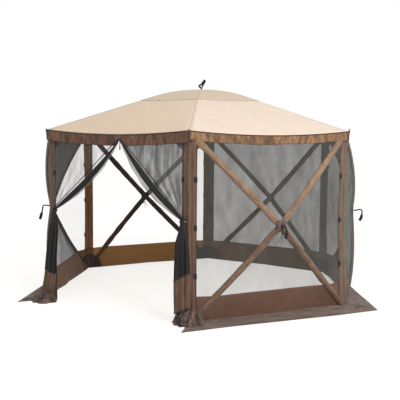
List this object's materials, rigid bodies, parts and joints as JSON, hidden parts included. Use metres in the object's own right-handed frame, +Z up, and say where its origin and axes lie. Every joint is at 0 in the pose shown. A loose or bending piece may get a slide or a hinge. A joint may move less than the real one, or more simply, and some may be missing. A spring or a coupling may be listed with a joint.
{
  "type": "screen house",
  "caption": "Six-sided pop-up camping shelter with a domed fabric canopy, mesh walls on crossed sprung poles and an open doorway.",
  "frame": {"origin": "on the ground at the centre of the six-sided floor", "axes": "+Z up, the open doorway faces -Y, +X to the right seen from the doorway side"},
  "size_m": [4.3944, 3.8056, 2.4562],
  "materials": {
    "canopy_tan": "coated polyester, tan",
    "crown_tan": "coated polyester, greyer tan",
    "brown_cloth": "coated polyester, brown",
    "sleeve_cloth": "coated polyester, brown, light catching",
    "mesh": "fine black no-see-um mesh",
    "curtain_cloth": "gathered black mesh and brown hem",
    "webbing": "black webbing",
    "hub_plastic": "black moulded nylon",
    "pole": "black glass-fibre rod with moulded ferrules",
    "zip_plastic": "black zip slider"
  },
  "bodies": {
    "root": {"canopy": "canopy_tan", "canopy_crown": "crown_tan", "valance": "brown_cloth", "corner_strips": "brown_cloth", "skirts": "brown_cloth", "ground_flap": "brown_cloth", "wall_1_screen": "mesh", "wall_2_screen": "mesh", "wall_3_screen": "mesh", "wall_4_screen": "mesh", "wall_5_screen": "mesh", "pole_sleeves": "sleeve_cloth", "left_curtain": "curtain_cloth", "right_curtain": "curtain_cloth", "curtain_ties": "webbing", "zip_slider": "zip_plastic", "corner_pockets": "webbing", "corner_patches": "brown_cloth", "stake_tabs": "webbing", "strip_tabs": "webbing"},
    "wall_1_hub": {"wall_1_hub": "hub_plastic"},
    "wall_1_pole_1": {"wall_1_pole_1": "pole"},
    "wall_1_pole_2": {"wall_1_pole_2": "pole"},
    "wall_1_pole_3": {"wall_1_pole_3": "pole"},
    "wall_1_pole_4": {"wall_1_pole_4": "pole"},
    "wall_1_strap": {"wall_1_strap": "webbing"},
    "wall_2_hub": {"wall_2_hub": "hub_plastic"},
    "wall_2_pole_1": {"wall_2_pole_1": "pole"},
    "wall_2_pole_2": {"wall_2_pole_2": "pole"},
    "wall_2_pole_3": {"wall_2_pole_3": "pole"},
    "wall_2_pole_4": {"wall_2_pole_4": "pole"},
    "wall_2_strap": {"wall_2_strap": "webbing"},
    "wall_3_hub": {"wall_3_hub": "hub_plastic"},
    "wall_3_pole_1": {"wall_3_pole_1": "pole"},
    "wall_3_pole_2": {"wall_3_pole_2": "pole"},
    "wall_3_pole_3": {"wall_3_pole_3": "pole"},
    "wall_3_pole_4": {"wall_3_pole_4": "pole"},
    "wall_3_strap": {"wall_3_strap": "webbing"},
    "wall_4_hub": {"wall_4_hub": "hub_plastic"},
    "wall_4_pole_1": {"wall_4_pole_1": "pole"},
    "wall_4_pole_2": {"wall_4_pole_2": "pole"},
    "wall_4_pole_3": {"wall_4_pole_3": "pole"},
    "wall_4_pole_4": {"wall_4_pole_4": "pole"},
    "wall_4_strap": {"wall_4_strap": "webbing"},
    "wall_5_hub": {"wall_5_hub": "hub_plastic"},
    "wall_5_pole_1": {"wall_5_pole_1": "pole"},
    "wall_5_pole_2": {"wall_5_pole_2": "pole"},
    "wall_5_pole_3": {"wall_5_pole_3": "pole"},
    "wall_5_pole_4": {"wall_5_pole_4": "pole"},
    "wall_5_strap": {"wall_5_strap": "webbing"},
    "roof_hub": {"roof_hub": "hub_plastic", "roof_pull_loop": "webbing"},
    "roof_pole_1": {"roof_pole_1": "pole"},
    "roof_pole_2": {"roof_pole_2": "pole"},
    "roof_pole_3": {"roof_pole_3": "pole"},
    "roof_pole_4": {"roof_pole_4": "pole"},
    "roof_pole_5": {"roof_pole_5": "pole"},
    "roof_pole_6": {"roof_pole_6": "pole"},
    "zip_pull": {"zip_pull": "zip_plastic"}
  },
  "joints": [
    {"name": "wall_1_pop", "type": "slide", "parent": "root", "child": "wall_1_hub", "axis": [0.866, -0.5, 0], "range_m": [-0.395, 0], "deforming": ["wall_1_screen", "skirts", "pole_sleeves"]},
    {"name": "wall_1_pole_1_fold", "type": "hinge", "parent": "wall_1_hub", "child": "wall_1_pole_1", "pos_m": [1.53984, -0.91178, 0.94989], "axis": [0.3552, 0.6152, 0.7038], "range_deg": [-0.5, 19.24]},
    {"name": "wall_1_pole_2_fold", "type": "hinge", "parent": "wall_1_hub", "child": "wall_1_pole_2", "pos_m": [1.55955, -0.87765, 0.94989], "axis": [0.3552, 0.6152, -0.7038], "range_deg": [-0.5, 19.24]},
    {"name": "wall_1_pole_3_fold", "type": "hinge", "parent": "wall_1_hub", "child": "wall_1_pole_3", "pos_m": [1.55955, -0.87765, 0.91011], "axis": [-0.3552, -0.6152, -0.7038], "range_deg": [-0.5, 19.24]},
    {"name": "wall_1_pole_4_fold", "type": "hinge", "parent": "wall_1_hub", "child": "wall_1_pole_4", "pos_m": [1.53984, -0.91178, 0.91011], "axis": [-0.3552, -0.6152, 0.7038], "range_deg": [-0.5, 19.24]},
    {"name": "wall_1_strap_swing", "type": "hinge", "parent": "wall_1_hub", "child": "wall_1_strap", "pos_m": [1.56788, -0.90522, 0.93], "axis": [-0.5, -0.866, 0], "range_deg": [-6, 100]},
    {"name": "wall_2_pop", "type": "slide", "parent": "root", "child": "wall_2_hub", "axis": [0.866, 0.5, 0], "range_m": [-0.395, 0], "deforming": ["wall_2_screen", "skirts", "pole_sleeves"]},
    {"name": "wall_2_pole_1_fold", "type": "hinge", "parent": "wall_2_hub", "child": "wall_2_pole_1", "pos_m": [1.55955, 0.87765, 0.94989], "axis": [-0.3552, 0.6152, 0.7038], "range_deg": [-0.5, 19.24]},
    {"name": "wall_2_pole_2_fold", "type": "hinge", "parent": "wall_2_hub", "child": "wall_2_pole_2", "pos_m": [1.53984, 0.91178, 0.94989], "axis": [-0.3552, 0.6152, -0.7038], "range_deg": [-0.5, 19.24]},
    {"name": "wall_2_pole_3_fold", "type": "hinge", "parent": "wall_2_hub", "child": "wall_2_pole_3", "pos_m": [1.53984, 0.91178, 0.91011], "axis": [0.3552, -0.6152, -0.7038], "range_deg": [-0.5, 19.24]},
    {"name": "wall_2_pole_4_fold", "type": "hinge", "parent": "wall_2_hub", "child": "wall_2_pole_4", "pos_m": [1.55955, 0.87765, 0.91011], "axis": [0.3552, -0.6152, 0.7038], "range_deg": [-0.5, 19.24]},
    {"name": "wall_2_strap_swing", "type": "hinge", "parent": "wall_2_hub", "child": "wall_2_strap", "pos_m": [1.56788, 0.90522, 0.93], "axis": [0.5, -0.866, 0], "range_deg": [-6, 100]},
    {"name": "wall_3_pop", "type": "slide", "parent": "root", "child": "wall_3_hub", "axis": [0, 1, 0], "range_m": [-0.395, 0], "deforming": ["wall_3_screen", "skirts", "pole_sleeves"]},
    {"name": "wall_3_pole_1_fold", "type": "hinge", "parent": "wall_3_hub", "child": "wall_3_pole_1", "pos_m": [0.01971, 1.78943, 0.94989], "axis": [-0.7104, 0, 0.7038], "range_deg": [-0.5, 19.24]},
    {"name": "wall_3_pole_2_fold", "type": "hinge", "parent": "wall_3_hub", "child": "wall_3_pole_2", "pos_m": [-0.01971, 1.78943, 0.94989], "axis": [-0.7104, 0, -0.7038], "range_deg": [-0.5, 19.24]},
    {"name": "wall_3_pole_3_fold", "type": "hinge", "parent": "wall_3_hub", "child": "wall_3_pole_3", "pos_m": [-0.01971, 1.78943, 0.91011], "axis": [0.7104, 0, -0.7038], "range_deg": [-0.5, 19.24]},
    {"name": "wall_3_pole_4_fold", "type": "hinge", "parent": "wall_3_hub", "child": "wall_3_pole_4", "pos_m": [0.01971, 1.78943, 0.91011], "axis": [0.7104, 0, 0.7038], "range_deg": [-0.5, 19.24]},
    {"name": "wall_3_strap_swing", "type": "hinge", "parent": "wall_3_hub", "child": "wall_3_strap", "pos_m": [0, 1.81043, 0.93], "axis": [1, 0, 0], "range_deg": [-6, 100]},
    {"name": "wall_4_pop", "type": "slide", "parent": "root", "child": "wall_4_hub", "axis": [-0.866, 0.5, 0], "range_m": [-0.395, 0], "deforming": ["wall_4_screen", "skirts", "pole_sleeves"]},
    {"name": "wall_4_pole_1_fold", "type": "hinge", "parent": "wall_4_hub", "child": "wall_4_pole_1", "pos_m": [-1.53984, 0.91178, 0.94989], "axis": [-0.3552, -0.6152, 0.7038], "range_deg": [-0.5, 19.24]},
    {"name": "wall_4_pole_2_fold", "type": "hinge", "parent": "wall_4_hub", "child": "wall_4_pole_2", "pos_m": [-1.55955, 0.87765, 0.94989], "axis": [-0.3552, -0.6152, -0.7038], "range_deg": [-0.5, 19.24]},
    {"name": "wall_4_pole_3_fold", "type": "hinge", "parent": "wall_4_hub", "child": "wall_4_pole_3", "pos_m": [-1.55955, 0.87765, 0.91011], "axis": [0.3552, 0.6152, -0.7038], "range_deg": [-0.5, 19.24]},
    {"name": "wall_4_pole_4_fold", "type": "hinge", "parent": "wall_4_hub", "child": "wall_4_pole_4", "pos_m": [-1.53984, 0.91178, 0.91011], "axis": [0.3552, 0.6152, 0.7038], "range_deg": [-0.5, 19.24]},
    {"name": "wall_4_strap_swing", "type": "hinge", "parent": "wall_4_hub", "child": "wall_4_strap", "pos_m": [-1.56788, 0.90522, 0.93], "axis": [0.5, 0.866, 0], "range_deg": [-6, 100]},
    {"name": "wall_5_pop", "type": "slide", "parent": "root", "child": "wall_5_hub", "axis": [-0.866, -0.5, 0], "range_m": [-0.395, 0], "deforming": ["wall_5_screen", "skirts", "pole_sleeves"]},
    {"name": "wall_5_pole_1_fold", "type": "hinge", "parent": "wall_5_hub", "child": "wall_5_pole_1", "pos_m": [-1.55955, -0.87765, 0.94989], "axis": [0.3552, -0.6152, 0.7038], "range_deg": [-0.5, 19.24]},
    {"name": "wall_5_pole_2_fold", "type": "hinge", "parent": "wall_5_hub", "child": "wall_5_pole_2", "pos_m": [-1.53984, -0.91178, 0.94989], "axis": [0.3552, -0.6152, -0.7038], "range_deg": [-0.5, 19.24]},
    {"name": "wall_5_pole_3_fold", "type": "hinge", "parent": "wall_5_hub", "child": "wall_5_pole_3", "pos_m": [-1.53984, -0.91178, 0.91011], "axis": [-0.3552, 0.6152, -0.7038], "range_deg": [-0.5, 19.24]},
    {"name": "wall_5_pole_4_fold", "type": "hinge", "parent": "wall_5_hub", "child": "wall_5_pole_4", "pos_m": [-1.55955, -0.87765, 0.91011], "axis": [-0.3552, 0.6152, 0.7038], "range_deg": [-0.5, 19.24]},
    {"name": "wall_5_strap_swing", "type": "hinge", "parent": "wall_5_hub", "child": "wall_5_strap", "pos_m": [-1.56788, -0.90522, 0.93], "axis": [-0.5, 0.866, 0], "range_deg": [-6, 100]},
    {"name": "roof_pop", "type": "slide", "parent": "root", "child": "roof_hub", "axis": [0, 0, 1], "range_m": [-0.946, 0], "deforming": ["canopy", "canopy_crown"]},
    {"name": "roof_pole_1_fold", "type": "hinge", "parent": "roof_hub", "child": "roof_pole_1", "pos_m": [0.02, -0.03464, 2.32], "axis": [-0.866, -0.5, 0], "range_deg": [-0.5, 29.37]},
    {"name": "roof_pole_2_fold", "type": "hinge", "parent": "roof_hub", "child": "roof_pole_2", "pos_m": [0.04, 0, 2.32], "axis": [0, -1, 0], "range_deg": [-0.5, 29.37]},
    {"name": "roof_pole_3_fold", "type": "hinge", "parent": "roof_hub", "child": "roof_pole_3", "pos_m": [0.02, 0.03464, 2.32], "axis": [0.866, -0.5, 0], "range_deg": [-0.5, 29.37]},
    {"name": "roof_pole_4_fold", "type": "hinge", "parent": "roof_hub", "child": "roof_pole_4", "pos_m": [-0.02, 0.03464, 2.32], "axis": [0.866, 0.5, 0], "range_deg": [-0.5, 29.37]},
    {"name": "roof_pole_5_fold", "type": "hinge", "parent": "roof_hub", "child": "roof_pole_5", "pos_m": [-0.04, 0, 2.32], "axis": [0, 1, 0], "range_deg": [-0.5, 29.37]},
    {"name": "roof_pole_6_fold", "type": "hinge", "parent": "roof_hub", "child": "roof_pole_6", "pos_m": [-0.02, -0.03464, 2.32], "axis": [-0.866, 0.5, 0], "range_deg": [-0.5, 29.37]},
    {"name": "zip_pull_swing", "type": "hinge", "parent": "root", "child": "zip_pull", "pos_m": [0.08, -1.59743, 1.762], "axis": [-1, 0, 0], "range_deg": [-95, 8]}
  ],
  "couplings": [
    {"joint": "wall_1_pole_1_fold", "follows": "wall_1_pop", "rad_per_m": -0.82815},
    {"joint": "wall_1_pole_2_fold", "follows": "wall_1_pop", "rad_per_m": -0.82815},
    {"joint": "wall_1_pole_3_fold", "follows": "wall_1_pop", "rad_per_m": -0.82815},
    {"joint": "wall_1_pole_4_fold", "follows": "wall_1_pop", "rad_per_m": -0.82815},
    {"joint": "wall_2_pole_1_fold", "follows": "wall_2_pop", "rad_per_m": -0.82815},
    {"joint": "wall_2_pole_2_fold", "follows": "wall_2_pop", "rad_per_m": -0.82815},
    {"joint": "wall_2_pole_3_fold", "follows": "wall_2_pop", "rad_per_m": -0.82815},
    {"joint": "wall_2_pole_4_fold", "follows": "wall_2_pop", "rad_per_m": -0.82815},
    {"joint": "wall_3_pole_1_fold", "follows": "wall_3_pop", "rad_per_m": -0.82815},
    {"joint": "wall_3_pole_2_fold", "follows": "wall_3_pop", "rad_per_m": -0.82815},
    {"joint": "wall_3_pole_3_fold", "follows": "wall_3_pop", "rad_per_m": -0.82815},
    {"joint": "wall_3_pole_4_fold", "follows": "wall_3_pop", "rad_per_m": -0.82815},
    {"joint": "wall_4_pole_1_fold", "follows": "wall_4_pop", "rad_per_m": -0.82815},
    {"joint": "wall_4_pole_2_fold", "follows": "wall_4_pop", "rad_per_m": -0.82815},
    {"joint": "wall_4_pole_3_fold", "follows": "wall_4_pop", "rad_per_m": -0.82815},
    {"joint": "wall_4_pole_4_fold", "follows": "wall_4_pop", "rad_per_m": -0.82815},
    {"joint": "wall_5_pole_1_fold", "follows": "wall_5_pop", "rad_per_m": -0.82815},
    {"joint": "wall_5_pole_2_fold", "follows": "wall_5_pop", "rad_per_m": -0.82815},
    {"joint": "wall_5_pole_3_fold", "follows": "wall_5_pop", "rad_per_m": -0.82815},
    {"joint": "wall_5_pole_4_fold", "follows": "wall_5_pop", "rad_per_m": -0.82815},
    {"joint": "roof_pole_1_fold", "follows": "roof_pop", "rad_per_m": -0.53263},
    {"joint": "roof_pole_2_fold", "follows": "roof_pop", "rad_per_m": -0.53263},
    {"joint": "roof_pole_3_fold", "follows": "roof_pop", "rad_per_m": -0.53263},
    {"joint": "roof_pole_4_fold", "follows": "roof_pop", "rad_per_m": -0.53263},
    {"joint": "roof_pole_5_fold", "follows": "roof_pop", "rad_per_m": -0.53263},
    {"joint": "roof_pole_6_fold", "follows": "roof_pop", "rad_per_m": -0.53263}
  ]
}
